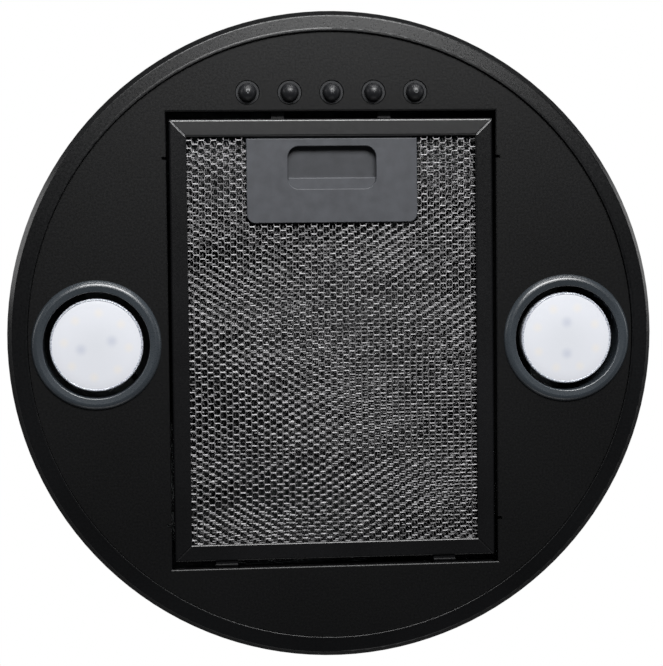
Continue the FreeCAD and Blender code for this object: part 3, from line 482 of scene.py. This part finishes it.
# ---- marks on the buttons ----------------------------------------------------------------
def arc(cx, cy, r, a0, a1, steps=18):
    """Points of an arc in millimetres; x is to the right and y is to the rear."""
    return [(cx + r * math.cos(math.radians(a0 + (a1 - a0) * i / steps)),
             cy + r * math.sin(math.radians(a0 + (a1 - a0) * i / steps))) for i in range(steps + 1)]


MARKS = {
    "button_1": [arc(0, -0.35, 0.85, 130, 410), [(-0.45, 0.75), (0.45, 0.75)],
                 [(-0.3, 1.1), (0.3, 1.1)]],
    "button_2": [[(-0.85, 0), (0.85, 0)]],
    "button_3": [arc(0, -0.2, 0.8, 0, 360), [(-0.8, 1.1), (0.8, 1.1)]],
    "button_4": [[(-0.85, 0), (0.85, 0)], [(0, -0.85), (0, 0.85)]],
    "button_5": [arc(0, 0.1, 0.9, -55, 235), [(0, -1.1), (0, -0.1)]],
}
MM = 0.001
MARK_FORWARD = 0.4     # millimetres ahead of the button's middle
mark_paint = surface("printed_mark", (0.16, 0.165, 0.17), 0.5, grain=4000, vary=0.3, cloud=900)
for name, strokes in MARKS.items():
    button = nodes[name]
    middle = mid(name)
    inverse = button.matrix_world.inverted()
    turn = inverse.to_3x3()
    verts, faces = [], []
    for stroke in strokes:
        path = []
        for x, y in stroke:
            below = Vector((middle.x + x * MM, middle.y + (y - MARK_FORWARD) * MM, PANEL_Z - 0.05))
            hit, where, _, _ = button.ray_cast(inverse @ below, turn @ Vector((0, 0, 1)))
            path.append(button.matrix_world @ where if hit else below)
        for a, b in zip(path, path[1:]):
            strand(verts, faces, a, b, 0.00026, 0.00008, 0.0, 4)
    piece(name + "_mark", verts, faces, mark_paint, name)


# ---- camera: below the hood, looking almost straight up ----------------------------------
camera = bpy.data.objects.new("camera", bpy.data.cameras.new("camera"))
bpy.context.scene.collection.objects.link(camera)
right = Vector((0.995646, 0.010594, -0.092608))
down = Vector((-0.015555, 0.998473, -0.053011))
forward = Vector((0.091905, 0.054221, 0.994290))
camera.matrix_world = Matrix((
    (right.x, -down.x, -forward.x, 0),
    (right.y, -down.y, -forward.y, 0),
    (right.z, -down.z, -forward.z, 0),
    (0, 0, 0, 1),
))
camera.location = CENTRE + Vector((-0.09316, -0.05595, -0.99223))
camera.data.lens = 98.93
camera.data.sensor_width = 36.0
camera.data.clip_start, camera.data.clip_end = 0.05, 40
bpy.context.scene.camera = camera

# ---- stage and light ---------------------------------------------------------------------
FLOOR_DROP = 1.6
bpy.ops.mesh.primitive_plane_add(size=40, location=(0, 0, PANEL_Z - FLOOR_DROP))
floor = bpy.context.object
floor.name = "floor"
floor_material = surface("pale_floor", (0.62, 0.62, 0.61), 0.7, vary=0.03, cloud=0.8, grain=60)
floor_shader = floor_material.node_tree.nodes["Principled BSDF"]
floor_shader.inputs["Emission Color"].default_value = (1.0, 1.0, 0.99, 1)
floor_shader.inputs["Emission Strength"].default_value = 0.45
floor.data.materials.append(floor_material)
floor.visible_glossy = False
floor.visible_diffuse = False


def area_light(name, place, target, size, power):
    """A rectangular light; place and target are measured from the middle of the panel."""
    data = bpy.data.lights.new(name, "AREA")
    data.shape = "RECTANGLE"
    data.size, data.size_y = size
    data.energy = power
    light = bpy.data.objects.new(name, data)
    light.location = CENTRE + Vector(place)
    aim = CENTRE + Vector(target) - light.location
    light.rotation_euler = aim.to_track_quat("-Z", "Y").to_euler()
    bpy.context.scene.collection.objects.link(light)


area_light("front_softbox", (0.1, -1.09, -1.30), (0, 0, 0), (1.2, 0.6), 42)
area_light("front_strip", (0.15, -1.6, -0.30), (0, 0, 0), (1.5, 0.12), 9)
area_light("rear_fill", (0, 1.6, -0.35), (0, 0, 0.02), (1.2, 0.3), 1.5)
area_light("left_fill", (-1.9, -0.6, 0.4), (0, 0, 0.4), (0.8, 1.6), 9)
area_light("right_fill", (1.9, -0.4, 0.5), (0, 0, 0.4), (0.8, 1.6), 8)
area_light("top_fill", (0.5, -0.7, 2.4), (0, 0, 0.8), (1.6, 1.6), 22)

world = bpy.data.worlds.new("studio")
bpy.context.scene.world = world
world.use_nodes = True
sky_tree = world.node_tree
back = sky_tree.nodes["Background"]
source = sky_tree.nodes.new("ShaderNodeTexCoord")
split = sky_tree.nodes.new("ShaderNodeSeparateXYZ")
sky_tree.links.new(source.outputs["Generated"], split.inputs["Vector"])
height = remap(sky_tree, split.outputs["Z"], 0.0, 1.0, -1.0, 1.0)
# Dark below, a bright band about the horizon, dark above it and bright overhead.
sky = [(0.0, (0.04, 0.04, 0.042)), (0.42, (0.07, 0.07, 0.075)), (0.49, (0.55, 0.55, 0.56)),
       (0.53, (0.60, 0.60, 0.61)), (0.58, (0.60, 0.60, 0.61)), (0.63, (0.10, 0.10, 0.10)),
       (0.945, (0.05, 0.05, 0.05)), (0.960, (1.0, 1.0, 1.0))]
sky_tree.links.new(ramp(sky_tree, height, sky), back.inputs["Color"])
back.inputs["Strength"].default_value = 1.0
bpy.context.scene.view_settings.view_transform = "Standard"
